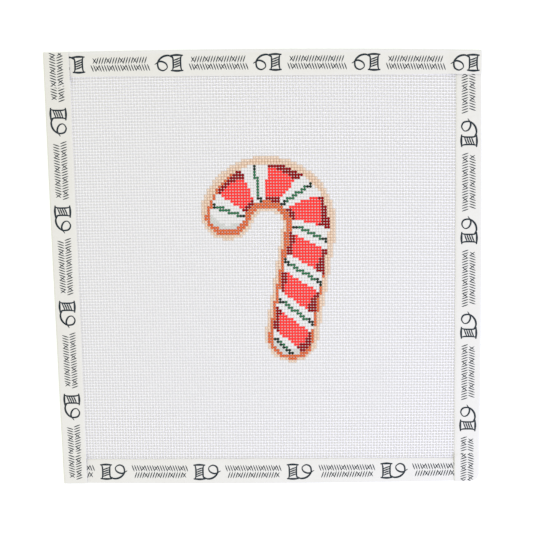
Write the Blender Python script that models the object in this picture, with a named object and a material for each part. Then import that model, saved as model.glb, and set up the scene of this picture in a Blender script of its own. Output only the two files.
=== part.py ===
"""A hand-painted needlepoint canvas: open cotton canvas with a candy cane cookie painted in its middle.

Its four sides are bound in cotton tape, folded over the edge. It lies flat with the painted face up (+Z) and the top
of the picture towards +Y. Everything is drawn about the middle of the canvas, and one empty puts it on the ground.
"""

import math
from dataclasses import dataclass

import bmesh
import bpy

# The canvas and its binding, in metres.
PITCH = 0.0254 / 18  # 18 threads to the inch
WIDTH = 0.2095
LENGTH = 0.2144
CANVAS_THICK = 0.0008
TAPE_FLAT = 0.0254
TAPE_THICK = 0.00035
GAP = 0.00025  # between layers that touch
FOLD_DEPTH = 0.001  # the round fold at the outer edge
SKEW = -0.0117  # sideways lean of the weave, for each metre up the picture
CORNER_ROUND = 0.004  # the one worn corner
RAMP = 0.002  # where a strip climbs onto its neighbour

# The painted cane, in metres and radians.
CROOK_CENTRE = (0.0009, 0.0230)
CROOK_RADIUS = 0.0203
TIP_ANGLE = math.radians(17)  # the crook stops this far short of a half turn
LEAN = math.radians(10)
SHAFT = 0.0521
CANE_HALF = 0.0133
RIM_BORDER = 0.0027
BAKED_BORDER = 0.0016
RED_WIDTH = 0.0111
WHITE_WIDTH = 0.0089
GREEN_WIDTH = PITCH  # a line one thread wide
SLANT_GROWTH = 5.0  # how much more the stripes slant for each metre along the cane
FIRST_RED = 0.0055  # how far along the cane the first red stripe starts
RED_STRIPES = 6
PAINT_THICK = 0.0002

FOLD_STEPS = 8
RUN_STEPS = 12
CAP_STEPS = 8
ARC_STEPS = 18
ACROSS_STEPS = 6
CORNER_STEPS = 5

ARC_LENGTH = CROOK_RADIUS * (math.pi - TIP_ANGLE + LEAN)
CANE_LENGTH = ARC_LENGTH + SHAFT
ICING_HALF = CANE_HALF - RIM_BORDER - BAKED_BORDER


@dataclass(frozen=True)
class Side:
    """One bound side. It runs along X (run 0) or Y (run 1), on the low (-1) or high (+1) side of the middle."""

    run: int
    out: int
    front: float  # how far in the tape reaches on the painted face
    insets: tuple  # how far the edge lies inside the straight one at its start, middle and end


SIDES = {
    "left": Side(1, -1, 0.0126, (0.0009, 0.0003, 0.0003)),
    "right": Side(1, 1, 0.0128, (0.0003, 0.0, 0.0010)),
    "top": Side(0, 1, 0.0130, (0.0011, 0.0002, 0.0014)),
    "bottom": Side(0, -1, 0.0126, (0.0006, 0.0, 0.0012)),
}
OVER_UNDER = {("left", "top"), ("left", "bottom"), ("top", "right"), ("right", "bottom")}
WORN_CORNER = {"right", "bottom"}


def half_size(axis):
    return (WIDTH, LENGTH)[axis] / 2


def edge_of(side, place):
    """The outer edge's coordinate across the side, at a place along it."""
    start, middle, end = side.insets
    share = place / half_size(side.run)
    inset = middle + share * (end - start) / 2 + share**2 * ((start + end) / 2 - middle)
    return side.out * (half_size(1 - side.run) - inset)


def neighbours(name):
    """The sides that meet a side at its start and at its end."""
    return ("bottom", "top") if SIDES[name].run == 1 else ("left", "right")


def corner_cut(distance):
    """How far a worn corner is rounded off, at a distance from the strip's end."""
    if distance >= CORNER_ROUND:
        return 0.0
    return CORNER_ROUND - math.sqrt(CORNER_ROUND**2 - (CORNER_ROUND - distance) ** 2)


def back_width(side):
    """What is left of the tape for the back, once the front and the fold have had theirs."""
    fold = math.pi * (FOLD_DEPTH - TAPE_THICK / 2)
    return TAPE_FLAT - side.front + 2 * FOLD_DEPTH - fold


def strip_end(name, neighbour):
    """How far along its run a strip reaches at one of its ends."""
    side, other = SIDES[name], SIDES[neighbour]
    reach = edge_of(other, side.out * half_size(other.run))
    if (name, neighbour) in OVER_UNDER:
        return reach
    return reach - other.out * FOLD_DEPTH


def raised(name, place):
    """From 0, where a strip lies on the canvas, to 1, where it lies over its neighbour."""
    level = 0.0
    for neighbour in neighbours(name):
        if (name, neighbour) not in OVER_UNDER:
            continue
        other = SIDES[neighbour]
        covered = max(other.front, back_width(other)) + GAP
        inside = other.out * (edge_of(other, 0) - place) - covered
        level = max(level, min(1.0, 1.0 - inside / RAMP))
    return max(level, 0.0)


def run_places(name):
    """The places along a strip where its section is drawn."""
    start, end = (strip_end(name, n) for n in neighbours(name))
    places = {start + (end - start) * i / RUN_STEPS for i in range(RUN_STEPS + 1)}
    for neighbour, tip in zip(neighbours(name), (start, end)):
        other = SIDES[neighbour]
        if (name, neighbour) in OVER_UNDER:
            covered = max(other.front, back_width(other)) + GAP
            foot = edge_of(other, 0) - other.out * covered
            places |= {foot, foot - other.out * RAMP}
        if {name, neighbour} == WORN_CORNER:
            turns = [math.pi / 2 * i / CORNER_STEPS for i in range(CORNER_STEPS)]
            places |= {tip - other.out * CORNER_ROUND * (1 - math.sin(t)) for t in turns}
    return sorted(places)


def fold_arc(depth, half_height, start):
    """Points (in from the edge, up) round the fold, from the front to the back."""
    points = []
    for i in range(FOLD_STEPS + 1):
        angle = math.pi / 2 - math.pi * i / FOLD_STEPS
        points.append((start - depth * math.cos(angle), half_height * math.sin(angle)))
    return points


def strip_section(front, back, level):
    """The folded tape cut across: outside from front to back, then inside from back to front."""
    inside = CANVAS_THICK / 2 + GAP + level * (TAPE_THICK + GAP)
    outside = inside + TAPE_THICK
    outer_fold = fold_arc(FOLD_DEPTH, outside, FOLD_DEPTH)
    inner_fold = fold_arc(FOLD_DEPTH - TAPE_THICK, inside, FOLD_DEPTH)
    outer = [(front, outside), *outer_fold, (back, -outside)]
    inner = [(back, -inside), *reversed(inner_fold), (front, inside)]
    return outer + inner


def skewed(x, y, z):
    return (x + SKEW * y, y, z)


def new_object(name, mesh, material):
    if material:
        mesh.materials.append(material)
    thing = bpy.data.objects.new(name, mesh)
    bpy.context.scene.collection.objects.link(thing)
    return thing


def mesh_of(name, bm):
    bmesh.ops.recalc_face_normals(bm, faces=bm.faces)
    mesh = bpy.data.meshes.new(name)
    bm.to_mesh(mesh)
    bm.free()
    return mesh


def new_material(name, colour, roughness):
    material = bpy.data.materials.new(name)
    material.use_nodes = True
    shader = material.node_tree.nodes["Principled BSDF"]
    shader.inputs["Base Color"].default_value = (*colour, 1.0)
    shader.inputs["Roughness"].default_value = roughness
    shader.inputs["Metallic"].default_value = 0.0
    material.diffuse_color = (*colour, 1.0)
    return material


def binding_strip(name, material):
    """One length of tape, folded over its side of the canvas."""
    side = SIDES[name]
    tips = {n: strip_end(name, n) for n in neighbours(name)}
    worn = [n for n in tips if {name, n} == WORN_CORNER]
    bm = bmesh.new()
    rings = []
    for place in run_places(name):
        cut = max([corner_cut(abs(tips[n] - place)) for n in worn], default=0.0)
        edge = edge_of(side, place)
        lost = half_size(1 - side.run) - abs(edge) + cut
        section = strip_section(side.front - lost, back_width(side) - lost, raised(name, place))
        ring = []
        for inward, up in section:
            across = edge - side.out * (inward + cut)
            x, y = (across, place) if side.run == 1 else (place, across)
            ring.append(bm.verts.new(skewed(x, y, up)))
        rings.append(ring)
    count = len(rings[0])
    for one, two in zip(rings, rings[1:]):
        for i in range(count):
            j = (i + 1) % count
            bm.faces.new((one[i], one[j], two[j], two[i]))
    bm.faces.new(rings[0])
    bm.faces.new(rings[-1])
    mesh = mesh_of(name, bm)
    mesh.shade_smooth()
    mesh.set_sharp_from_angle(angle=math.radians(40))
    return new_object(f"binding_{name}", mesh, material)


def canvas_outline():
    """The canvas inside the folds, anticlockwise from its lower left corner."""
    left, right, top, bottom = (SIDES[n] for n in ("left", "right", "top", "bottom"))
    low_x = edge_of(left, 0) + FOLD_DEPTH
    high_x = edge_of(right, 0) - FOLD_DEPTH
    low_y = edge_of(bottom, 0) + FOLD_DEPTH
    high_y = edge_of(top, 0) - FOLD_DEPTH

    def between(low, high):
        return [low + (high - low) * i / RUN_STEPS for i in range(RUN_STEPS)]

    lower = [(x, edge_of(bottom, x) + FOLD_DEPTH) for x in between(low_x, high_x - CORNER_ROUND)]
    corner_x = edge_of(right, -half_size(1)) - FOLD_DEPTH - CORNER_ROUND
    corner_y = edge_of(bottom, half_size(0)) + FOLD_DEPTH + CORNER_ROUND
    turns = [-math.pi / 2 * (1 - i / CORNER_STEPS) for i in range(CORNER_STEPS)]
    round_corner = [
        (corner_x + CORNER_ROUND * math.cos(t), corner_y + CORNER_ROUND * math.sin(t)) for t in turns
    ]
    risers = between(corner_y, edge_of(top, half_size(0)) - FOLD_DEPTH)
    rightmost = [(edge_of(right, y) - FOLD_DEPTH, y) for y in risers]
    top_right = edge_of(right, half_size(1)) - FOLD_DEPTH
    upper = [(x, edge_of(top, x) - FOLD_DEPTH) for x in between(top_right, low_x)]
    fallers = between(edge_of(top, -half_size(0)) - FOLD_DEPTH, low_y)
    leftmost = [(edge_of(left, y) + FOLD_DEPTH, y) for y in fallers]
    return lower + round_corner + rightmost + upper + leftmost


def prism(name, outline, low, high, material):
    """A flat shape with upright sides, between two heights."""
    bm = bmesh.new()
    floor = bm.faces.new([bm.verts.new(skewed(x, y, low)) for x, y in outline])
    lifted = bmesh.ops.extrude_face_region(bm, geom=[floor])["geom"]
    top = [v for v in lifted if isinstance(v, bmesh.types.BMVert)]
    bmesh.ops.translate(bm, vec=(0, 0, high - low), verts=top)
    return new_object(name, mesh_of(name, bm), material)


def cane_point(along, out):
    """A point of the cane: how far along its middle line from the tip, and how far out from that line."""
    on_arc = min(max(along, 0.0), ARC_LENGTH)
    angle = math.pi - TIP_ANGLE - on_arc / CROOK_RADIUS
    past = along - on_arc
    radius = CROOK_RADIUS + out
    x = CROOK_CENTRE[0] + radius * math.cos(angle) + past * math.sin(angle)
    y = CROOK_CENTRE[1] + radius * math.sin(angle) - past * math.cos(angle)
    return (x, y)


def cane_outline(half):
    """The cane's outline at a distance from its middle line, with a half circle round each end."""
    arc = [ARC_LENGTH * i / ARC_STEPS for i in range(ARC_STEPS + 1)]
    turns = [math.pi * i / CAP_STEPS for i in range(1, CAP_STEPS)]
    outer = [cane_point(s, half) for s in [*arc, CANE_LENGTH]]
    foot = [cane_point(CANE_LENGTH + half * math.sin(t), half * math.cos(t)) for t in turns]
    inner = [cane_point(s, -half) for s in [CANE_LENGTH, *reversed(arc)]]
    tip = [cane_point(-half * math.sin(t), -half * math.cos(t)) for t in turns]
    return outer + foot + inner + tip


def slanted_band(start, end):
    """A band across the cane and past both its sides, further along on its outer side than on its inner side."""
    outs = [CANE_HALF * (2 * i / ACROSS_STEPS - 1) for i in range(ACROSS_STEPS + 1)]
    first = [cane_point(start * (1 + SLANT_GROWTH * out), out) for out in outs]
    second = [cane_point(end * (1 + SLANT_GROWTH * out), out) for out in outs]
    return [*first, *reversed(second)]


def boolean(thing, operation, cutter):
    cut = thing.modifiers.new(cutter.name, "BOOLEAN")
    cut.operation = operation
    cut.object = cutter


def cane_cutter(name, half, low, high):
    """A cane-shaped tool that isn't part of the object."""
    cutter = prism(name, cane_outline(half), low, high, None)
    cutter.hide_render = True
    cutter.display_type = "WIRE"
    return cutter


def cane_ring(name, half, border, level, material):
    """A painted line of even width round the cane."""
    low, high = level
    ring = prism(name, cane_outline(half - GAP / 2), low, high, material)
    hole = cane_cutter(f"{name}_hole", half - border + GAP / 2, 2 * low - high, 2 * high - low)
    boolean(ring, "DIFFERENCE", hole)


def icing_bands():
    """Each band of the iced middle, as (name, colour, start, end), in order along the cane."""
    bands = []
    start = -2 * CANE_HALF
    for i in range(RED_STRIPES + 1):
        red_start = FIRST_RED + i * (RED_WIDTH + WHITE_WIDTH)
        green_start = red_start - (WHITE_WIDTH + GREEN_WIDTH) / 2
        green_end = green_start + GREEN_WIDTH
        last = i == RED_STRIPES
        white_end = red_start + 2 * CANE_HALF if last else red_start
        bands.append((f"icing_{2 * i}", "icing", start, green_start))
        bands.append((f"green_line_{i}", "green", green_start, green_end))
        bands.append((f"icing_{2 * i + 1}", "icing", green_end, white_end))
        if not last:
            start = red_start + RED_WIDTH
            bands.append((f"red_stripe_{i}", "red", red_start, start))
    return bands


def painted_canvas(materials):
    """The canvas with a shallow recess for the painted cane, and the cane's colours as thin plates in it."""
    top = CANVAS_THICK / 2
    level = (top - PAINT_THICK, top)
    canvas = prism("canvas", canvas_outline(), -top, top, materials["canvas"])
    recess = cane_cutter("recess", CANE_HALF + GAP, level[0] - GAP, top + CANVAS_THICK)
    boolean(canvas, "DIFFERENCE", recess)
    cane_ring("cookie_rim", CANE_HALF, RIM_BORDER, level, materials["rim"])
    cane_ring("baked_edge", CANE_HALF - RIM_BORDER, BAKED_BORDER, level, materials["baked"])
    middle = cane_cutter("iced_middle", ICING_HALF - GAP / 2, -top, top + CANVAS_THICK)
    for name, colour, start, end in icing_bands():
        outline = slanted_band(start + GAP / 2, end - GAP / 2)
        band = prism(name, outline, *level, materials[colour])
        boolean(band, "INTERSECT", middle)


def stand_on_ground(things):
    """Puts everything under one empty, which centres the things on the origin, the lowest point on the ground."""
    corners = [v.co for thing in things for v in thing.data.vertices]
    low, high = ([f(c[i] for c in corners) for i in range(3)] for f in (min, max))
    holder = bpy.data.objects.new("needlepoint_canvas", None)
    bpy.context.scene.collection.objects.link(holder)
    holder.location = (-(low[0] + high[0]) / 2, -(low[1] + high[1]) / 2, -low[2])
    for thing in bpy.data.objects:
        if thing is not holder:
            thing.parent = holder


def main():
    for thing in list(bpy.data.objects):
        bpy.data.objects.remove(thing)
    colours = {
        "canvas": (0.80, 0.81, 0.83),
        "rim": (0.85, 0.52, 0.30),
        "baked": (0.72, 0.16, 0.04),
        "icing": (0.86, 0.87, 0.87),
        "red": (0.95, 0.06, 0.06),
        "green": (0.01, 0.13, 0.05),
        "tape": (0.84, 0.83, 0.78),
    }
    materials = {name: new_material(name, colour, 0.9) for name, colour in colours.items()}
    bindings = [binding_strip(name, materials["tape"]) for name in SIDES]
    painted_canvas(materials)
    stand_on_ground(bindings)


main()
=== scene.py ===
"""A painted needlepoint canvas, dressed: woven threads, the paint on them, the binding tape and its print.

Everything is drawn about the middle of the canvas, as in the source, and placed() puts it in the row frame.
"Across" and "along" are a strip's or a thread's own directions. "Inward" is the distance in from a strip's
outer edge.
"""

import math

import bpy
import numpy as np
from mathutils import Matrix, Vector


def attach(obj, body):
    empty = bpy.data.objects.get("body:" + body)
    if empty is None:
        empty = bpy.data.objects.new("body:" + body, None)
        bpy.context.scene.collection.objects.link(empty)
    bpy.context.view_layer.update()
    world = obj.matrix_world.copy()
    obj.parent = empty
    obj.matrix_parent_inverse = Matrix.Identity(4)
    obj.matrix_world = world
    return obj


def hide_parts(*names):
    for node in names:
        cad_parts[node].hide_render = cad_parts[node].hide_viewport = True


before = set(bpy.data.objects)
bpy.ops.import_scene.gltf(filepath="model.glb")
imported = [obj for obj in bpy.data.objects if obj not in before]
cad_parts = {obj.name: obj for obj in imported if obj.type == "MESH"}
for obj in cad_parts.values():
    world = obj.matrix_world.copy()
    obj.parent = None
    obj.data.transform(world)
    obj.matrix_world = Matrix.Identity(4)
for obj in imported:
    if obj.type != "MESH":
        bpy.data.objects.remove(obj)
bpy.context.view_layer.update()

MM = 0.001

# The canvas and its binding, as in the source, in metres.
PITCH = 0.0254 / 18
WIDTH = 0.2095
LENGTH = 0.2144
CANVAS_HALF = 0.0004
TAPE_FLAT = 0.0254
TAPE_THICK = 0.00035
GAP = 0.00025
FOLD_DEPTH = 0.001
SKEW = -0.0117
CORNER_ROUND = 0.004
MIDDLE = (0.000003, 0.000113, 0.0016)  # the middle of the canvas in the row frame
BAKE_SPAN = 1.1 * WIDTH  # side of the square that the bake map covers
SHARP = math.radians(40)
# Each strip runs along X (0) or Y (1), at the low (-1) or high (1) side. Then come the reach of its front and
# how far in its outer edge lies at its start, middle and end.
SIDES = {
    "left": (1, -1, 0.0126, (0.0009, 0.0003, 0.0003)),
    "right": (1, 1, 0.0128, (0.0003, 0.0, 0.0010)),
    "top": (0, 1, 0.0130, (0.0011, 0.0002, 0.0014)),
    "bottom": (0, -1, 0.0126, (0.0006, 0.0, 0.0012)),
}
OVER_UNDER = {("left", "top"), ("left", "bottom"), ("top", "right"), ("right", "bottom")}
WORN_CORNER = {"right", "bottom"}

# The painted cane, as in the source, in metres and radians.
CROOK_CENTRE = (0.0009, 0.0230)
CROOK_RADIUS = 0.0203
TIP_ANGLE = math.radians(17)
LEAN = math.radians(10)
SHAFT = 0.0521
CANE_HALF = 0.0133
RED_WIDTH = 0.0111
WHITE_WIDTH = 0.0089
SLANT_GROWTH = 5.0  # how much more the stripes slant for each metre along the cane
FIRST_RED = 0.0055
RED_STRIPES = 6
ARC_LENGTH = CROOK_RADIUS * (math.pi - TIP_ANGLE + LEAN)
CANE_LENGTH = ARC_LENGTH + SHAFT

# The weave, in threads (shares of the pitch) unless metres are said.
WEAVE_PHASE = (-0.434, 0.416)  # where thread 0 lies from the middle of the canvas
THREAD_HALF = (0.26, 0.205)  # half a thread's width, of those along X and those along Y
THREAD_RISE = 0.00014  # half a thread's thickness, in metres
CRIMP = 0.00009  # how far a thread swings up and down, in metres
COAT_RISE = 0.00017
COAT_CUT = -0.1  # how low a coat reaches, as a share of its rise
COAT_END = 1.04  # how much thicker than the bare thread a coat ends
STRAY = 0.006  # how far threads wander sideways
SLUB = 0.012  # how much their thickness varies, as a share of it
JITTER = 0.004  # how unevenly the crossings are spaced
UNDER_TAPE = 3  # threads woven on under the tape's inner edge
THREAD_SIDES = 5
COAT_SIDES = 8

rng = np.random.default_rng(18)


# ---------------------------------------------------------------- mesh making


def placed(points):
    """Points drawn about the middle of the canvas, in the row frame."""
    moved = points + np.array(MIDDLE)
    moved[..., 0] += SKEW * points[..., 1]
    return moved


def add_map(mesh, name, values):
    layer = mesh.uv_layers.new(name=name)
    layer.data.foreach_set("uv", values.astype(np.float32).ravel())


def new_piece(name, points, faces, material):
    """A piece from points in the row frame and faces as a list, riding on the one body."""
    mesh = bpy.data.meshes.new(name)
    mesh.from_pydata(points.tolist(), [], faces)
    mesh.shade_smooth()
    mesh.materials.append(material)
    piece = bpy.data.objects.new(name, mesh)
    bpy.context.scene.collection.objects.link(piece)
    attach(piece, "root")
    return piece


def swept(name, rings, joined, lengths, material, capped=False):
    """Tubes through rings of points. joined says which rings go on to the next one. lengths is each ring's
    place along its tube, for the map that the yarn's twist follows."""
    sides = rings.shape[1]
    joined = np.append(joined, False)
    used = joined | np.roll(joined, 1)
    rings, lengths = rings[used], lengths[used]
    joined = joined[used]
    first = np.nonzero(joined)[0]
    side = np.arange(sides)
    beside = (side + 1) % sides
    low, high = first[:, None] * sides, (first[:, None] + 1) * sides
    quads = np.stack([low + side, low + beside, high + beside, high + side], axis=-1).reshape(-1, 4)
    faces = quads.tolist()
    if capped:
        starts = np.nonzero(joined & ~np.roll(joined, 1))[0]
        ends = np.nonzero(~joined & np.roll(joined, 1))[0]
        faces += [list(range(k * sides, (k + 1) * sides))[::-1] for k in starts.tolist()]
        faces += [list(range(k * sides, (k + 1) * sides)) for k in ends.tolist()]
    points = placed(rings.reshape(-1, 3))
    piece = new_piece(name, points, faces, material)
    mesh = piece.data
    if not capped:
        round_it = np.stack([side, side + 1, side + 1, side], axis=-1) / sides
        low, high = lengths[first][:, None, None], lengths[first + 1][:, None, None]
        along = np.concatenate([low, low, high, high], axis=2) + np.zeros((len(first), sides, 4))
        turns = np.broadcast_to(round_it, (len(first), sides, 4))
        add_map(mesh, "yarn", np.stack([turns, along], axis=-1))
        corners = points[quads.ravel()][:, :2]
        add_map(mesh, "OFBake", (corners + BAKE_SPAN / 2) / BAKE_SPAN)
    return piece


# ---------------------------------------------------------------- materials


def new_group(name, inputs, outputs):
    """A node group with (title, kind, default) inputs and (title, kind) outputs, and both its end nodes."""
    group = bpy.data.node_groups.new(name, "ShaderNodeTree")
    for title, kind, default in inputs:
        socket = group.interface.new_socket(title, in_out="INPUT", socket_type=kind)
        if default is not None:
            socket.default_value = default
    for title, kind in outputs:
        group.interface.new_socket(title, in_out="OUTPUT", socket_type=kind)
    return group, group.nodes.new("NodeGroupInput"), group.nodes.new("NodeGroupOutput")


def maths(tree, operation, first, second=None):
    """A Math node on two sockets or numbers."""
    node = tree.nodes.new("ShaderNodeMath")
    node.operation = operation
    for place, value in enumerate((first, second)):
        if value is None:
            continue
        if isinstance(value, (int, float)):
            node.inputs[place].default_value = value
        else:
            tree.links.new(value, node.inputs[place])
    return node.outputs[0]


def noise(tree, vector, scale):
    """A noise of a given number or socket as its scale."""
    node = tree.nodes.new("ShaderNodeTexNoise")
    tree.links.new(vector, node.inputs["Vector"])
    if isinstance(scale, (int, float)):
        node.inputs["Scale"].default_value = scale
    else:
        tree.links.new(scale, node.inputs["Scale"])
    return node.outputs["Fac"]


def mottle_group():
    """Uneven colour: between two colours by a coarse and a fine noise on the piece's own coordinates."""
    group, given, out = new_group(
        "mottle",
        [
            ("Vector", "NodeSocketVector", None),
            ("Colour", "NodeSocketColor", None),
            ("Tint", "NodeSocketColor", None),
            ("Coarse", "NodeSocketFloat", 60.0),
            ("Fine", "NodeSocketFloat", 900.0),
        ],
        [("Colour", "NodeSocketColor"), ("Fac", "NodeSocketFloat")],
    )
    coarse = noise(group, given.outputs["Vector"], given.outputs["Coarse"])
    fine = noise(group, given.outputs["Vector"], given.outputs["Fine"])
    both = maths(group, "ADD", maths(group, "MULTIPLY", coarse, 0.5), maths(group, "MULTIPLY", fine, 0.5))
    spread = group.nodes.new("ShaderNodeMapRange")
    spread.inputs["From Min"].default_value = 0.35
    spread.inputs["From Max"].default_value = 0.65
    group.links.new(both, spread.inputs["Value"])
    mix = group.nodes.new("ShaderNodeMix")
    mix.data_type = "RGBA"
    group.links.new(spread.outputs[0], mix.inputs["Factor"])
    group.links.new(given.outputs["Colour"], mix.inputs["A"])
    group.links.new(given.outputs["Tint"], mix.inputs["B"])
    group.links.new(mix.outputs["Result"], out.inputs["Colour"])
    group.links.new(spread.outputs[0], out.inputs["Fac"])
    return group


def twist_group():
    """The plies of a twisted yarn, as a height: bands that wind round the thread."""
    group, given, out = new_group(
        "yarn_twist",
        [
            ("Vector", "NodeSocketVector", None),
            ("Plies", "NodeSocketFloat", 3.0),
            ("Turns", "NodeSocketFloat", 1.2),
        ],
        [("Height", "NodeSocketFloat")],
    )
    parts = group.nodes.new("ShaderNodeSeparateXYZ")
    group.links.new(given.outputs["Vector"], parts.inputs[0])
    wound = maths(group, "MULTIPLY", parts.outputs["X"], given.outputs["Plies"])
    along = maths(group, "MULTIPLY", parts.outputs["Y"], given.outputs["Turns"])
    angle = maths(group, "MULTIPLY", maths(group, "ADD", wound, along), math.tau)
    height = maths(group, "MULTIPLY", maths(group, "ADD", maths(group, "SINE", angle), 1.0), 0.5)
    group.links.new(height, out.inputs["Height"])
    return group


def weave_group():
    """A fine plain weave, as a height and a mask of its gaps, on a map in metres."""
    group, given, out = new_group(
        "tape_weave",
        [("Vector", "NodeSocketVector", None), ("Threads", "NodeSocketFloat", 2400.0)],
        [("Height", "NodeSocketFloat"), ("Gaps", "NodeSocketFloat")],
    )
    parts = group.nodes.new("ShaderNodeSeparateXYZ")
    group.links.new(given.outputs["Vector"], parts.inputs[0])
    waves = []
    for axis in ("X", "Y"):
        turned = maths(group, "MULTIPLY", parts.outputs[axis], given.outputs["Threads"])
        waves.append(maths(group, "SINE", maths(group, "MULTIPLY", turned, math.pi)))
    height = maths(group, "ADD", maths(group, "MULTIPLY", waves[0], waves[1]), 1.0)
    group.links.new(maths(group, "MULTIPLY", height, 0.5), out.inputs["Height"])
    edges = [maths(group, "SUBTRACT", 1.0, maths(group, "ABSOLUTE", wave)) for wave in waves]
    group.links.new(maths(group, "POWER", maths(group, "MULTIPLY", *edges), 2.0), out.inputs["Gaps"])
    return group


def groove_group():
    """A mask of where the painted shade goes on a thread's map: its sides, and the valleys between the
    crossings.
    """
    group, given, out = new_group(
        "thread_groove_shade", [("Vector", "NodeSocketVector", None)], [("Fac", "NodeSocketFloat")]
    )
    parts = group.nodes.new("ShaderNodeSeparateXYZ")
    group.links.new(given.outputs["Vector"], parts.inputs[0])
    fallen = []
    for axis in ("X", "Y"):
        upright = maths(group, "COSINE", maths(group, "MULTIPLY", parts.outputs[axis], math.tau))
        fallen.append(maths(group, "SUBTRACT", 1.0, upright))
    sides = maths(group, "MINIMUM", fallen[0], 1.0)
    valleys = maths(group, "POWER", maths(group, "MULTIPLY", fallen[1], 0.5), 2.0)
    group.links.new(maths(group, "MAXIMUM", sides, valleys), out.inputs["Fac"])
    return group


GROUPS = {
    "mottle": mottle_group(),
    "twist": twist_group(),
    "weave": weave_group(),
    "grooves": groove_group(),
}


def placed_group(tree, name, **values):
    node = tree.nodes.new("ShaderNodeGroup")
    node.node_tree = GROUPS[name]
    for title, value in values.items():
        if isinstance(value, bpy.types.NodeSocket):
            tree.links.new(value, node.inputs[title])
        else:
            node.inputs[title].default_value = value
    return node


def new_material(name, roughness, sheen=0.0):
    """A material's tree, its Principled shader and its object coordinates."""
    material = bpy.data.materials.new(name)
    material.use_nodes = True
    tree = material.node_tree
    shader = tree.nodes["Principled BSDF"]
    shader.inputs["Roughness"].default_value = roughness
    shader.inputs["Specular IOR Level"].default_value = 0.1
    shader.inputs["Sheen Weight"].default_value = sheen
    shader.inputs["Sheen Roughness"].default_value = 0.6
    coordinates = tree.nodes.new("ShaderNodeTexCoord").outputs["Object"]
    return material, tree, shader, coordinates


def uv_of(tree, name):
    node = tree.nodes.new("ShaderNodeUVMap")
    node.uv_map = name
    return node.outputs[0]


def bumped(tree, shader, height, strength, distance):
    bump = tree.nodes.new("ShaderNodeBump")
    bump.inputs["Strength"].default_value = strength
    bump.inputs["Distance"].default_value = distance
    tree.links.new(height, bump.inputs["Height"])
    tree.links.new(bump.outputs[0], shader.inputs["Normal"])


def yarn_material(name, colour, tint, groove_shade, roughness, twist, coarse=60.0):
    """Twisted cotton, bare or with a coat of paint on it: a coat hides some of the twist. The grooves of the
    weave, its sides and the valleys between the crossings, get a colour of their own, mostly a darker
    painted shade."""
    material, tree, shader, coordinates = new_material(name, roughness)
    uneven = placed_group(
        tree, "mottle", Vector=coordinates, Colour=(*colour, 1), Tint=(*tint, 1), Coarse=coarse
    )
    mix = tree.nodes.new("ShaderNodeMix")
    mix.data_type = "RGBA"
    # painted shade in the weave's grooves, over the thread's own colour
    mix.inputs["B"].default_value = (*groove_shade, 1)
    grooves = placed_group(tree, "grooves", Vector=uv_of(tree, "yarn"))
    tree.links.new(grooves.outputs["Fac"], mix.inputs["Factor"])
    tree.links.new(uneven.outputs["Colour"], mix.inputs["A"])
    tree.links.new(mix.outputs["Result"], shader.inputs["Base Color"])
    plies = placed_group(tree, "twist", Vector=uv_of(tree, "yarn"))
    fibres = noise(tree, coordinates, 9000.0)
    height = maths(tree, "ADD", plies.outputs[0], maths(tree, "MULTIPLY", fibres, 0.4))
    bumped(tree, shader, height, twist, 0.05 * MM)
    return material


def tape_material():
    """Warm white cotton tape, with a painted bluish highlight along the folds of the top and left strips."""
    material, tree, shader, coordinates = new_material("binding_tape", 0.9, 0.05)
    cloth = uv_of(tree, "cloth")
    uneven = placed_group(
        tree,
        "mottle",
        Vector=coordinates,
        Colour=(0.676, 0.674, 0.634, 1),
        Tint=(0.662, 0.654, 0.609, 1),
        Coarse=45.0,
        Fine=700.0,
    )
    # a painted bluish highlight along the fold, as strong as each point is near it
    painted_light = tree.nodes.new("ShaderNodeAttribute")
    painted_light.attribute_name = "fold_painted_light"
    mix = tree.nodes.new("ShaderNodeMix")
    mix.data_type = "RGBA"
    mix.inputs["B"].default_value = (0.74, 0.745, 0.79, 1)
    tree.links.new(painted_light.outputs["Fac"], mix.inputs["Factor"])
    tree.links.new(uneven.outputs["Colour"], mix.inputs["A"])
    tree.links.new(mix.outputs["Result"], shader.inputs["Base Color"])
    weave = placed_group(tree, "weave", Vector=cloth)
    fibres = noise(tree, coordinates, 4000.0)
    height = maths(tree, "ADD", weave.outputs["Height"], maths(tree, "MULTIPLY", fibres, 0.8))
    bumped(tree, shader, height, 0.5, 0.06 * MM)
    return material


def ink_material():
    """Dark blue-grey printing ink, thinner in places, with the cloth's grain in it."""
    material, tree, shader, coordinates = new_material("print_ink", 0.75)
    uneven = placed_group(
        tree,
        "mottle",
        Vector=coordinates,
        Colour=(0.012, 0.020, 0.026, 1),
        Tint=(0.032, 0.043, 0.050, 1),
        Coarse=150.0,
        Fine=2500.0,
    )
    tree.links.new(uneven.outputs["Colour"], shader.inputs["Base Color"])
    bumped(tree, shader, noise(tree, coordinates, 4000.0), 0.4, 0.05 * MM)
    return material


# ---------------------------------------------------------------- the binding


def half_size(axis):
    return (WIDTH, LENGTH)[axis] / 2


def edge_of(name, place):
    """The outer edge's coordinate across the side, at places along it."""
    run, out, _, (start, middle, end) = SIDES[name]
    share = place / half_size(run)
    inset = middle + share * (end - start) / 2 + share**2 * ((start + end) / 2 - middle)
    return out * (half_size(1 - run) - inset)


def neighbours(name):
    return ("bottom", "top") if SIDES[name][0] == 1 else ("left", "right")


def back_width(name):
    """What is left of the tape for the back, once the front and the fold have had theirs."""
    fold = math.pi * (FOLD_DEPTH - TAPE_THICK / 2)
    return TAPE_FLAT - SIDES[name][2] + 2 * FOLD_DEPTH - fold


def strip_end(name, neighbour):
    reach = edge_of(neighbour, SIDES[name][1] * half_size(SIDES[neighbour][0]))
    return reach if (name, neighbour) in OVER_UNDER else reach - SIDES[neighbour][1] * FOLD_DEPTH


RAMP = 0.004  # over what length a strip climbs onto its neighbour
SELVEDGE = 0.0009  # over which width the tape thins to its free edge, and by how much
SELVEDGE_THINNER = 0.00022
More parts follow.
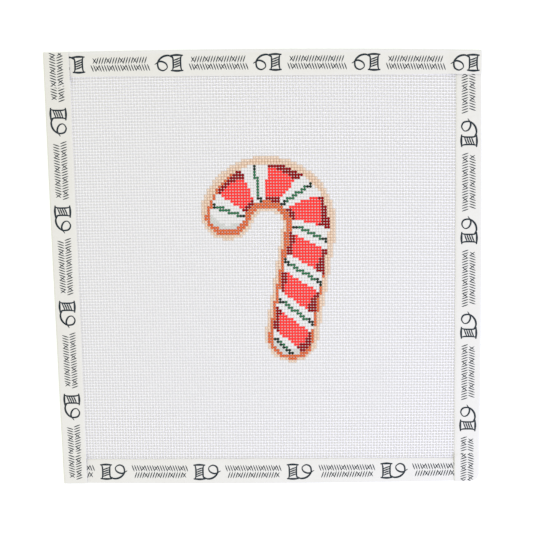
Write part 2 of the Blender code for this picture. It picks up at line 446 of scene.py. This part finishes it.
# How much further in than in the source each free edge lies, and how strong each fold's painted bluish
# highlight is.
EDGE_SHIFT = {"left": 0.0002, "right": 0.0, "top": -0.0003, "bottom": 0.0003}
FOLD_PAINTED_LIGHT = {"left": 0.2, "right": 0.0, "top": 0.75, "bottom": 0.0}
# over which width in from the outer edge the fold's painted highlight fades out
PAINTED_LIGHT_WIDTH = 0.0016
RIPPLES = ((0.65, 0.0062, 0.0045), (0.35, 0.0021, 0.0033))  # share, and length over 2 pi along and across
RIPPLE_PHASE = 1.7
EDGE_RIPPLE = 0.00010
FACE_RIPPLE = 0.00004
STATIONS = 150
CORNER_STATIONS = 10


def raised(name, place):
    """From 0, where a strip lies on the canvas, to 1, where it lies over its neighbour."""
    level = np.zeros_like(place)
    for neighbour in neighbours(name):
        if (name, neighbour) in OVER_UNDER:
            out = SIDES[neighbour][1]
            covered = max(SIDES[neighbour][2], back_width(neighbour)) + GAP
            inside = out * (edge_of(neighbour, 0.0) - place) - covered
            level = np.maximum(level, np.clip(1 - inside / RAMP, 0, 1))
    return level * level * (3 - 2 * level)


def corner_cut(name, place):
    """How far the worn corner is rounded off, at places along a strip."""
    cut = np.zeros_like(place)
    for neighbour in neighbours(name):
        if {name, neighbour} == WORN_CORNER:
            distance = np.clip(np.abs(strip_end(name, neighbour) - place), 0, CORNER_ROUND)
            cut = CORNER_ROUND - np.sqrt(CORNER_ROUND**2 - (CORNER_ROUND - distance) ** 2)
    return cut


def ripple(name, place, inward, size):
    """A gentle unevenness of laid cloth, the same wherever it is asked for."""
    phase = list(SIDES).index(name) * RIPPLE_PHASE
    (much, long, wide), (little, short, narrow) = RIPPLES
    slow = np.sin(place / long + phase) * np.cos(inward / wide + 2 * phase)
    quick = np.sin(place / short + 3 * phase) * np.sin(inward / narrow + phase)
    return size * (much * slow + little * quick)


def free_edge(name, place):
    """How far in from the strip's outer edge its free edge lies."""
    lost = half_size(1 - SIDES[name][0]) - np.abs(edge_of(name, place)) + corner_cut(name, place)
    return SIDES[name][2] + EDGE_SHIFT[name] - lost + ripple(name, place, 0.0, EDGE_RIPPLE)


def thinning(name, place, inward):
    """How much thinner the tape gets at its free edge, where it has no more than its selvedge."""
    return SELVEDGE_THINNER * np.clip(1 - (free_edge(name, place) - inward) / SELVEDGE, 0, 1) ** 1.5


def front_height(name, place, inward):
    """How high the tape's printed face lies over the middle of the canvas. It sags from the fold to its free
    edge, which rests on the threads."""
    level = raised(name, place)
    share = np.clip((inward - FOLD_DEPTH) / (SIDES[name][2] - FOLD_DEPTH), 0, 1)
    to_threads = CANVAS_HALF + GAP - THREAD_RISE - 0.7 * CRIMP
    sag = to_threads * share**1.5 * (1 - level)
    wave = ripple(name, place, inward, FACE_RIPPLE) * np.clip(4 * share * (1 - share), 0, 1)
    over = CANVAS_HALF + GAP - sag + level * (TAPE_THICK + GAP) + wave
    return over + TAPE_THICK - thinning(name, place, inward)


def on_tape(name, place, inward, lift):
    """Points on the tape's front, or lifted off it, about the middle of the canvas. A worn corner leaves
    them in their places."""
    run, out = SIDES[name][:2]
    across = edge_of(name, place) - out * inward
    height = front_height(name, place, inward - corner_cut(name, place)) + lift
    return np.stack([across, place, height] if run == 1 else [place, across, height], axis=-1)


def strip_section(name, place):
    """One folded section: (inward, up) outside from front to back, then inside from back to front. With it
    comes how near each point is to the fold, which weighs the painted highlight there."""
    front_steps, fold_steps, back_steps = 14, 10, 6
    front = float(free_edge(name, place))
    back = back_width(name) - SIDES[name][2] + front
    level = float(raised(name, place))
    half = CANVAS_HALF + GAP + level * (TAPE_THICK + GAP) + TAPE_THICK
    flat = front - (front - FOLD_DEPTH) * (np.arange(front_steps) / front_steps) ** 1.5
    turn = np.pi / 2 - np.pi * np.arange(fold_steps + 1) / fold_steps
    rear = np.linspace(FOLD_DEPTH, back, back_steps + 1)[1:]
    outer = [(x, float(front_height(name, place, np.array(x)))) for x in flat]
    outer += [(FOLD_DEPTH * (1 - math.cos(t)), half * math.sin(t)) for t in turn]
    outer += [(x, -half) for x in rear]
    thin = FOLD_DEPTH - TAPE_THICK
    inner = [(x, -half + TAPE_THICK) for x in rear[::-1]]
    inner += [(FOLD_DEPTH - thin * math.cos(t), (half - TAPE_THICK) * math.sin(t)) for t in turn[::-1]]
    thinner = thinning(name, place, flat)
    inner += [(x, up - TAPE_THICK + less) for (x, up), less in zip(outer[:front_steps][::-1], thinner[::-1])]
    section = np.array(outer + inner)
    near = np.clip(1 - section[:, 0] / PAINTED_LIGHT_WIDTH, 0, 1)
    return section, near


def binding_strip(name, material):
    """One length of tape, folded over its side of the canvas."""
    run, out = SIDES[name][:2]
    start, end = (strip_end(name, n) for n in neighbours(name))
    places = list(np.linspace(start, end, STATIONS))
    for neighbour, tip in zip(neighbours(name), (start, end)):
        if {name, neighbour} == WORN_CORNER:
            turns = np.arange(CORNER_STATIONS) * math.pi / (2 * CORNER_STATIONS)
            places += list(tip - SIDES[neighbour][1] * CORNER_ROUND * (1 - np.sin(turns)))
    places = np.unique(np.round(places, 7))
    rings, fold, cloth = [], [], []
    for place in places:
        section, near = strip_section(name, np.array(place))
        edge = float(edge_of(name, place) - out * corner_cut(name, np.array(place)))
        across = edge - out * section[:, 0]
        columns = (across, np.full_like(across, place))
        rings.append(np.stack([*(columns if run == 1 else columns[::-1]), section[:, 1]], axis=-1))
        fold.append(near)
        steps = np.linalg.norm(np.diff(section, axis=0), axis=1)
        cloth.append(np.append(0.0, np.cumsum(steps)))
    rings, fold, cloth = np.array(rings), np.array(fold), np.array(cloth)
    count = rings.shape[1]
    low = np.arange(len(places) - 1)[:, None] * count
    side = np.arange(count)
    beside = (side + 1) % count
    quads = np.stack([low + side, low + beside, low + count + beside, low + count + side], axis=-1)
    if (run == 1) == (out == 1):
        quads = quads[..., ::-1]
    quads = quads.reshape(-1, 4)
    ends = [list(range(count)), list(range((len(places) - 1) * count, len(places) * count))]
    ends[0 if (run == 1) != (out == 1) else 1].reverse()
    piece = new_piece(
        f"tape_{name}", placed(rings.reshape(-1, 3)), quads.tolist() + ends, material
    )
    mesh = piece.data
    mesh.set_sharp_from_angle(angle=SHARP)
    # the painted highlight on the fold, kept on the points for the tape's material
    layer = mesh.attributes.new("fold_painted_light", "FLOAT", "POINT")
    layer.data.foreach_set("value", (FOLD_PAINTED_LIGHT[name] * fold).astype(np.float32).ravel())
    loops = np.zeros(len(mesh.loops), np.int32)
    mesh.loops.foreach_get("vertex_index", loops)
    lengthwise = np.repeat(places, count)
    add_map(mesh, "cloth", np.stack([cloth.ravel()[loops], lengthwise[loops]], axis=-1))
    return piece


# ---------------------------------------------------------------- the tape's print


REPEAT = 0.0468  # from one emblem to the next, with the rows of stitches midway
FIRST_EMBLEM = {"left": 0.0734, "right": -0.0738, "top": 0.0961, "bottom": -0.0787}
READING = {"left": -1, "right": 1, "top": -1, "bottom": 1}  # which way along the strip the print reads
EMBLEM_INWARD = 0.0062
ROWS_INWARD = (0.0081, 0.0046)
INK_OVER, INK_UNDER = 0.00002, 0.0001  # how far the ink stands over the cloth's face, and reaches below it
PRINT_MARGIN = 0.0002
# The stitches, in millimetres: how many are in each row, and their spacing. Every fifth is a cross.
ROW_COUNTS = (22, 20)
STITCH_STEP = 1.28
CROSS_EVERY = 5


def curve(points, steps=6):
    """A smooth line through points, each (x, y, half width)."""
    points = np.array(points, float)
    ends = np.concatenate([2 * points[:1] - points[1:2], points, 2 * points[-1:] - points[-2:-1]])
    line = []
    for i in range(len(points) - 1):
        a, b, c, d = ends[i : i + 4]
        for t in np.arange(steps) / steps:
            squared = (2 * a - 5 * b + 4 * c - d) * t**2
            cubed = (3 * b - a - 3 * c + d) * t**3
            line.append(0.5 * (2 * b + (c - a) * t + squared + cubed))
    return np.array([*line, points[-1]])


def spool():
    """A line drawing of a thread spool with a loose end, in millimetres about its middle."""
    strokes = [
        curve([(-6.6, 3.5, 0.30), (-3.6, 3.7, 0.52), (-0.6, 3.5, 0.30)]),
        curve([(-6.6, -3.5, 0.30), (-3.6, -3.7, 0.52), (-0.6, -3.5, 0.30)]),
        curve([(-5.8, 3.4, 0.25), (-5.4, 1.8, 0.38), (-5.4, -1.8, 0.38), (-5.8, -3.4, 0.25)]),
        curve([(-1.4, 3.4, 0.25), (-1.8, 1.8, 0.38), (-1.8, -1.8, 0.38), (-1.4, -3.4, 0.25)]),
    ]
    for up in (-2.5, -1.4, -0.3, 0.8):
        strokes.append(curve([(-5.4, up, 0.2), (-3.6, up + 0.8, 0.34), (-1.8, up + 1.4, 0.2)], 4))
    strokes.append(
        curve(
            [
                (-1.8, -2.3, 0.20),
                (0.3, -3.5, 0.42),
                (3.2, -2.9, 0.48),
                (5.4, -0.6, 0.38),
                (5.2, 2.4, 0.42),
                (3.1, 3.5, 0.34),
                (1.1, 2.2, 0.26),
                (1.7, 0.2, 0.38),
                (4.3, -0.8, 0.42),
                (7.0, 0.6, 0.16),
            ]
        )
    )
    return strokes


def stitch(x, lean, long, half):
    """One slanted stitch, thick in its middle, with half its length and half its greatest width."""
    dx, dy = long * math.sin(lean), long * math.cos(lean)
    shape = ((-1, 0.4), (-0.5, 0.9), (0, 1), (0.5, 0.9), (1, 0.4))
    return np.array([(x + dx * place, dy * place, half * width) for place, width in shape])


def stitch_rows():
    """Two rows of small embroidery stitches, in millimetres about the middle of each row: (row, stroke)."""
    rows = []
    for row, count in enumerate(ROW_COUNTS):
        for i in range(count):
            x = (i - (count - 1) / 2) * STITCH_STEP
            if i % CROSS_EVERY == CROSS_EVERY - 1:
                rows += [(row, stitch(x, lean, long=1.5, half=0.22)) for lean in (-0.6, 0.6)]
            else:
                rows.append((row, stitch(x, (-0.35, 0.35)[row], long=1.65, half=0.255)))
    return rows


def print_strokes(name):
    """Every stroke of one strip's print: (along the strip, inward, half width), in metres."""
    strokes = []
    start, end = sorted(strip_end(name, n) for n in neighbours(name))
    way = READING[name]
    for k in range(-1, 6):
        middle = FIRST_EMBLEM[name] + way * REPEAT * k
        marks = [(EMBLEM_INWARD, 0.0, stroke) for stroke in spool()]
        marks += [(ROWS_INWARD[row], REPEAT / 2, stroke) for row, stroke in stitch_rows()]
        for inward, shift, stroke in marks:
            along = middle + way * (shift + stroke[:, 0] * MM)
            line = np.stack([along, inward + stroke[:, 1] * MM, stroke[:, 2] * MM], axis=-1)
            flat = line[:, 1] - corner_cut(name, along) > FOLD_DEPTH
            line = line[flat & (along > start + PRINT_MARGIN) & (along < end - PRINT_MARGIN)]
            if len(line) > 2:
                strokes.append(line)
    return strokes


def tape_print(name, material):
    """The print on one strip, as thin ink that lies on the cloth."""
    rings, joined = [], []
    for line in print_strokes(name):
        ways = np.gradient(line[:, :2], axis=0)
        ways /= np.linalg.norm(ways, axis=1, keepdims=True) + 1e-12
        aside = np.stack([-ways[:, 1], ways[:, 0]], axis=-1) * line[:, 2:]
        left, right = line[:, :2] + aside, line[:, :2] - aside
        corners = [(left, INK_OVER), (right, INK_OVER), (right, -INK_UNDER), (left, -INK_UNDER)]
        ring = np.stack([on_tape(name, p[:, 0], p[:, 1], lift) for p, lift in corners], axis=1)
        run, out = SIDES[name][:2]
        if (run == 1) == (out == 1):
            ring = ring[:, ::-1]
        rings.append(ring)
        joined += [True] * (len(line) - 1) + [False]
    rings = np.concatenate(rings)
    joined = np.array(joined[:-1])
    lengths = np.zeros(len(rings))
    piece = swept(f"print_{name}", rings, joined, lengths, material, capped=True)
    piece.data.set_sharp_from_angle(angle=SHARP)
    return piece


# ---------------------------------------------------------------- the painted cane


BARE, RIM, BAKED, ICING, SHADE, RED, MAROON, GREEN, DARK_GREEN, PALE_RIM = range(10)
# What paint adds to half a thread, and how far it reaches into the holes where it fills them, in threads.
COAT_WIDER = (0.0, 0.11, 0.10, 0.07, 0.06, 0.07, 0.075, 0.03, 0.04, 0.09)
BRIM = {RIM: 0.5}
# How far in from the icing's edge the shade at both ends and the dark ends of the green lines reach.
DARK_DEPTH = 2.2 * PITCH


def cane_place(x, y):
    """How far along the cane's middle line from the tip each point is, how far out from it, and how far
    inside the cane's outline."""
    x, y = x - CROOK_CENTRE[0], y - CROOK_CENTRE[1]
    angle = np.arctan2(y, x)
    start = math.pi - TIP_ANGLE
    angle = np.where(angle < -math.pi / 2, angle + math.tau, angle)
    along = CROOK_RADIUS * (start - angle)
    out = np.hypot(x, y) - CROOK_RADIUS
    for end, shaft in ((start, False), (-LEAN, True)):
        ahead = x * math.sin(end) - y * math.cos(end)
        beside = x * math.cos(end) + y * math.sin(end)
        if shaft:
            here = (ahead > 0) & (beside > 0)
            along = np.where(here, ARC_LENGTH + ahead, along)
        else:
            here = (ahead < 0) & (beside > 0)
            along = np.where(here, ahead, along)
        out = np.where(here, beside - CROOK_RADIUS, out)
    past = along - np.clip(along, 0, CANE_LENGTH)
    return along, out, CANE_HALF - np.hypot(past, out)


def cane_colours(x, y):
    """The colour painted at each crossing, by rule. The rim is pale in its outermost thread, and is widest
    outside the crook. The baked edge is widest inside the crook and round both ends."""
    along, out, inside = cane_place(x, y)
    colour = np.full(x.shape, BARE)
    side = np.clip(out / CANE_HALF, -1, 1)
    foot = np.clip((along - ARC_LENGTH) / SHAFT, 0, 1)
    tip_or_foot = np.clip(np.maximum(-along, along - CANE_LENGTH) / (0.6 * CANE_HALF), 0, 1)
    low = np.clip(2.5 * foot, 0, 1)
    wider_outside = 0.9 * side * (1 - tip_or_foot) * (1 - 0.8 * low)
    rim = PITCH * (2.0 + wider_outside - 0.3 * low - 0.6 * tip_or_foot)
    baked_in = np.clip(0.5 - side, 0, 1) * (1 - 0.4 * low)
    baked_out = np.clip(side, 0, 1) * np.clip(3 * foot - 1, 0, 1)
    early = np.clip(1 - along / (0.8 * CROOK_RADIUS), 0, 1) * np.clip(side, 0, 1)
    baked_end = tip_or_foot * (1 - 0.25 * low)
    baked = PITCH * 2.0 * np.maximum.reduce([baked_in, 0.65 * baked_out, early, baked_end])
    depth = inside - rim - baked
    colour[inside > 0.12 * PITCH] = PALE_RIM
    colour[inside > PITCH] = RIM
    colour[inside > rim] = BAKED
    iced = (inside > rim) & (depth > 0)
    colour[iced] = ICING
    past_ends = (along < -0.25 * CANE_HALF) | (along > CANE_LENGTH + 0.15 * CANE_HALF)
    colour[iced & past_ends & (depth < DARK_DEPTH)] = SHADE
    stripe = along / (1 + SLANT_GROWTH * out) - FIRST_RED
    step = RED_WIDTH + WHITE_WIDTH
    number = np.floor(stripe / step)
    within = stripe - number * step
    red = iced & (number >= 0) & (number < RED_STRIPES) & (within < RED_WIDTH)
    colour[red] = RED
    shadow = np.where(side > 0, 1.2 + 2.2 * within / RED_WIDTH, 1.6)
    colour[red & (depth < PITCH * shadow)] = MAROON
    line = np.abs(within - RED_WIDTH - WHITE_WIDTH / 2)
    one_cell = sum(np.abs(np.gradient(stripe, axis=axis)) for axis in (0, 1))
    green = iced & (number >= -1) & (number < RED_STRIPES) & (line < one_cell / 2)
    colour[green] = GREEN
    colour[green & (depth < DARK_DEPTH)] = DARK_GREEN
    return colour


# ---------------------------------------------------------------- the weave


def crossings():
    """The numbers of the woven threads, side by side along X and along Y."""
    spans = []
    for axis, (low, high) in enumerate((("left", "right"), ("bottom", "top"))):
        first = (edge_of(low, 0.0) + SIDES[low][2]) / PITCH - WEAVE_PHASE[axis] - UNDER_TAPE
        last = (edge_of(high, 0.0) - SIDES[high][2]) / PITCH - WEAVE_PHASE[axis] + UNDER_TAPE
        spans.append(np.arange(math.ceil(first), math.floor(last) + 1))
    return spans


def wander(threads, length, size):
    """A value for each thread at each crossing, which changes smoothly along it."""
    window = 9
    raw = rng.normal(size=(threads, length + window - 1))
    smooth = np.array([np.convolve(row, np.ones(window) / math.sqrt(window), "valid") for row in raw])
    return size * (smooth + 0.7 * rng.normal(size=(threads, 1)))


def pulled(x, y):
    """Where the crossings lie once the binding has pulled the even weave a little out of square: by so many
    threads, for places in tenths of a metre."""
    a, b = x / 0.1, y / 0.1
    right = 0.30 * a - 0.38 * a**3 - 0.40 * a * b**2 - 0.20 * b**2 + 0.09 * b**3
    up = 0.28 * b - 0.27 * b**3 - 0.49 * a**2 * b - 0.25 * a**2 - 0.07 * a * b
    return x + right * PITCH, y + up * PITCH


def between(values):
    """Values at every crossing, and halfway before, between and after them, along the last axis."""
    ends = np.concatenate([values[:, :1], values, values[:, -1:]], axis=1).astype(float)
    halves = (ends[:, :-1] + ends[:, 1:]) / 2
    out = np.zeros((len(values), 2 * values.shape[1] + 1))
    out[:, 1::2] = values
    out[:, 0::2] = halves
    return out


def ring_points(run, across, along, height, half, rise, sides, lowest=-1.0, brim=0.0):
    """Flattened round sections of threads that run along X (0) or Y (1), cut off flat at a share of the
    rise. A brim of paint goes out from the points at 45 degrees below, into the holes beside them."""
    turn = math.pi / 2 + math.tau * np.arange(sides) / sides
    if run == 1:
        turn = turn[::-1]
    brimmed = (np.sin(turn) < lowest) & (brim > 0)
    reach = np.where(brimmed, brim * PITCH * math.sqrt(2), half[..., None])
    wide = across[..., None] + reach * np.cos(turn)
    tall = height[..., None] + rise[..., None] * np.maximum(np.sin(turn), lowest)
    long = along[..., None] + np.zeros(sides)
    return np.stack([wide, long, tall] if run == 1 else [long, wide, tall], axis=-1)


def uneven(beside, ahead):
    """Crossings across and along a set of threads, and the threads' thickness there, all a little uneven."""
    across = beside + wander(*beside.shape, STRAY) * PITCH
    thick = 1 + wander(*beside.shape, SLUB)
    along = ahead + rng.normal(size=beside.shape) * JITTER * PITCH
    return across, along, thick


def bare_threads(name, run, numbers, across, along, up, thick, material):
    """The cotton threads that run one way, woven on under the tape as far as its fold."""
    low, high = ("bottom", "top") if run == 1 else ("left", "right")
    first, last = edge_of(low, numbers) + FOLD_DEPTH, edge_of(high, numbers) - FOLD_DEPTH
    both_ends = ((0, 0), (1, 1))
    thick = np.pad(thick, both_ends, mode="edge")
    rings = ring_points(
        run,
        np.pad(across, both_ends, mode="edge"),
        np.concatenate([first[:, None], along, last[:, None]], axis=1),
        np.pad(up, both_ends) * CRIMP,
        THREAD_HALF[run] * PITCH * thick,
        THREAD_RISE * (0.5 + 0.5 * thick),
        THREAD_SIDES,
    )
    joined = np.ones(thick.shape, bool)
    joined[:, -1] = False
    places = np.broadcast_to(np.arange(thick.shape[1], dtype=float), thick.shape)
    rings = rings.reshape(-1, THREAD_SIDES, 3)
    return swept(name, rings, joined.ravel()[:-1], places.ravel(), material)


def add_coats(coats, run, own, across, along, up, thick):
    """Adds each colour's coats on the threads that run one way, half a pitch to both sides of a crossing."""
    count, length = own.shape
    painted = np.pad(own != BARE, ((0, 0), (1, 1)))
    ending = np.zeros((count, 2 * length + 1), bool)
    ending[:, 0::2] = ~(painted[:, :-1] & painted[:, 1:])
    across, along, up, thick = between(across), between(along), between(up) * CRIMP, between(thick)
    along[:, 0] -= PITCH / 2
    along[:, -1] += PITCH / 2
    places = np.broadcast_to(np.arange(1, 2 * length + 2) / 2, ending.shape)
    for number, (rings, joined, ring_places) in coats.items():
        mine = np.repeat(own == number, 2, axis=1)
        rows = mine.any(axis=1)
        if not rows.any():
            continue
        coated = THREAD_HALF[run] + COAT_WIDER[number]
        half = np.where(ending, THREAD_HALF[run] * COAT_END, coated) * PITCH * thick
        rise = np.where(ending, THREAD_RISE * COAT_END, COAT_RISE)
        brim = BRIM.get(number, 0.0)
        ring = ring_points(run, across, along, up, half, rise, COAT_SIDES, COAT_CUT, brim)
        rings.append(ring[rows].reshape(-1, COAT_SIDES, 3))
        joined.append(np.pad(mine[rows], ((0, 0), (0, 1))).ravel())
        ring_places.append(places[rows].ravel())


def weave(materials):
    """The bare threads both ways, and every painted colour as a coat on them."""
    columns, lines = crossings()
    x = (columns + WEAVE_PHASE[0]) * PITCH
    y = (lines + WEAVE_PHASE[1]) * PITCH
    spots = pulled(*np.meshgrid(x, y, indexing="ij"))
    colour = cane_colours(*spots)
    parity = np.where((columns[:, None] + lines[None, :]) % 2 == 0, 1.0, -1.0)
    ways = {
        "canvas_warp": (1, x, spots[0], spots[1], parity, colour),
        "canvas_weft": (0, y, spots[1].T, spots[0].T, -parity.T, colour.T),
    }
    coats = {number: ([], [], []) for number in PAINTS}
    threads = {}
    for name, (run, numbers, beside, ahead, up, own) in ways.items():
        across, along, thick = uneven(beside, ahead)
        threads[name] = bare_threads(name, run, numbers, across, along, up, thick, materials["cotton"])
        add_coats(coats, run, own, across, along, up, thick)
    return threads, coats


PAINTS = {
    RIM: ("paint_tan_rim", "paint_rim", "tan", ["cookie_rim"]),
    BAKED: ("paint_baked_edge", "paint_baked_edge", "rust", ["baked_edge"]),
    ICING: ("paint_white_icing", "paint_icing", "icing", [f"icing_{i}" for i in range(14)]),
    SHADE: ("paint_icing_shade", "paint_icing", "shade", []),
    RED: ("paint_red_stripes", "paint_red", "red", [f"red_stripe_{i}" for i in range(6)]),
    MAROON: ("paint_red_shade", "paint_red", "maroon", []),
    GREEN: ("paint_green_lines", "paint_green", "green", [f"green_line_{i}" for i in range(7)]),
    DARK_GREEN: ("paint_green_ends", "paint_green", "dark_green", []),
    PALE_RIM: ("paint_pale_rim", "paint_rim", "pale_tan", []),
}


def canvas(materials):
    """The woven canvas and the paint on it, in place of the source's canvas and painted nodes."""
    threads, coats = weave(materials)
    for number, (rings, joined, places) in coats.items():
        name, slot, material, nodes = PAINTS[number]
        rings, joined, places = (np.concatenate(parts) for parts in (rings, joined, places))
        piece = swept(name, rings, joined[:-1], places, materials[material])
        if nodes:
            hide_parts(*nodes)
    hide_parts("canvas")


def yarn_materials():
    # The colour in the grooves is mostly a darker painted shade; for the tan it is partly thin paint gathered
    # there.
    coat = {  # on the thread's top, in two shades, and in the grooves
        "tan": ((0.76, 0.615, 0.475), (0.79, 0.645, 0.505), (0.56, 0.385, 0.265)),
        "pale_tan": ((0.775, 0.65, 0.525), (0.80, 0.68, 0.555), (0.59, 0.44, 0.325)),
        "rust": ((0.68, 0.155, 0.054), (0.76, 0.190, 0.070), (0.46, 0.083, 0.024)),
        "icing": ((0.735, 0.730, 0.715), (0.720, 0.715, 0.700), (0.68, 0.68, 0.665)),
        "shade": ((0.58, 0.59, 0.56), (0.64, 0.645, 0.61), (0.52, 0.535, 0.50)),
        "red": ((0.84, 0.032, 0.029), (0.87, 0.044, 0.039), (0.82, 0.040, 0.036)),
        "maroon": ((0.215, 0.000, 0.001), (0.265, 0.002, 0.003), (0.225, 0.001, 0.002)),
        "green": ((0.022, 0.145, 0.060), (0.034, 0.175, 0.076), (0.016, 0.12, 0.050)),
        "dark_green": ((0.006, 0.022, 0.012), (0.012, 0.036, 0.020), (0.005, 0.018, 0.010)),
    }
    # bare cotton: its top in two shades, and a bluish painted shade in its grooves
    cotton = ((0.826, 0.823, 0.812), (0.816, 0.813, 0.804), (0.741, 0.740, 0.754))
    made = {}
    for name, looks in coat.items():
        made[name] = yarn_material(f"paint_{name}", *looks, roughness=0.8, twist=0.25, coarse=300.0)
    made["cotton"] = yarn_material("canvas_cotton", *cotton, roughness=0.85, twist=0.15)
    return made


# ---------------------------------------------------------------- floor, light, camera


BENEATH = 0.1  # half the side of the part of the table beneath the canvas
TABLE_HALF = 4.0
FOCAL_LENGTH = 1061.25  # in pixels of the photograph
PHOTO_WIDTH = 533  # in pixels
EYE = (0.00611, 0.07391, 0.51308)  # from the middle of the canvas
EYE_TURN = (-7.906, 0.626, -0.406)  # degrees


def floor():
    """A white table, lit from within like a light table. Beneath the canvas it is greyer, with a glow of its
    own: a painted shade, and a fixed light that sets how bright the holes of the weave look."""
    mesh = bpy.data.meshes.new("floor")
    corners = [(-1, -1), (1, -1), (1, 1), (-1, 1)]
    points = [(x * reach, y * reach, 0) for reach in (BENEATH, TABLE_HALF) for x, y in corners]
    ring = [(k, k + 4, (k + 1) % 4 + 4, (k + 1) % 4) for k in range(4)]
    mesh.from_pydata(points, [], [(0, 1, 2, 3), *ring])
    looks = (  # name, shade, strength and colour of the glow
        # beneath the canvas: painted shade, with a fixed glow for the light that gets through the weave
        ("white_table", 0.20, 0.545, (1, 0.988, 0.99, 1)),
        ("white_table_lit", 0.80, 0.35, (0.85, 0.94, 1, 1)),
    )
    for name, shade, glow, tone in looks:
        material = bpy.data.materials.new(name)
        material.use_nodes = True
        shader = material.node_tree.nodes["Principled BSDF"]
        shader.inputs["Base Color"].default_value = (shade, shade, shade, 1)
        shader.inputs["Roughness"].default_value = 0.9
        shader.inputs["Specular IOR Level"].default_value = 0.1
        shader.inputs["Emission Color"].default_value = tone
        shader.inputs["Emission Strength"].default_value = glow
        mesh.materials.append(material)
    mesh.polygons.foreach_set("material_index", [0, 1, 1, 1, 1])
    table = bpy.data.objects.new("floor", mesh)
    bpy.context.scene.collection.objects.link(table)


def light():
    """A bright white room, and one soft bluish lamp beyond the lower right corner."""
    world = bpy.data.worlds.new("studio")
    bpy.context.scene.world = world
    world.use_nodes = True
    tree = world.node_tree
    room = tree.nodes["Background"]
    room.inputs["Color"].default_value = (1, 0.992, 0.867, 1)
    room.inputs["Strength"].default_value = 1.08
    lamp = bpy.data.lights.new("softbox", "AREA")
    lamp.shape = "SQUARE"
    lamp.size = 0.35
    lamp.color = (0.455, 0.47, 0.88)
    lamp.energy = 2.8
    holder = bpy.data.objects.new("softbox", lamp)
    place = Vector((0.37, -0.26, 0.48))
    holder.location = place
    holder.rotation_euler = place.to_track_quat("Z", "Y").to_euler()
    bpy.context.scene.collection.objects.link(holder)


def camera():
    eye = bpy.data.cameras.new("camera")
    eye.sensor_width = 36.0
    eye.lens = FOCAL_LENGTH / PHOTO_WIDTH * eye.sensor_width
    eye.clip_start, eye.clip_end = 0.01, 50.0
    holder = bpy.data.objects.new("camera", eye)
    holder.location = Vector(EYE) + Vector(MIDDLE)
    holder.rotation_euler = [math.radians(turn) for turn in EYE_TURN]
    bpy.context.scene.collection.objects.link(holder)
    bpy.context.scene.camera = holder
    bpy.context.scene.view_settings.view_transform = "Standard"


def main():
    canvas(yarn_materials())
    tape, ink = tape_material(), ink_material()
    for name in SIDES:
        strip = binding_strip(name, tape)
        printed = tape_print(name, ink)
        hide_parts(f"binding_{name}")
    floor()
    light()
    camera()


main()
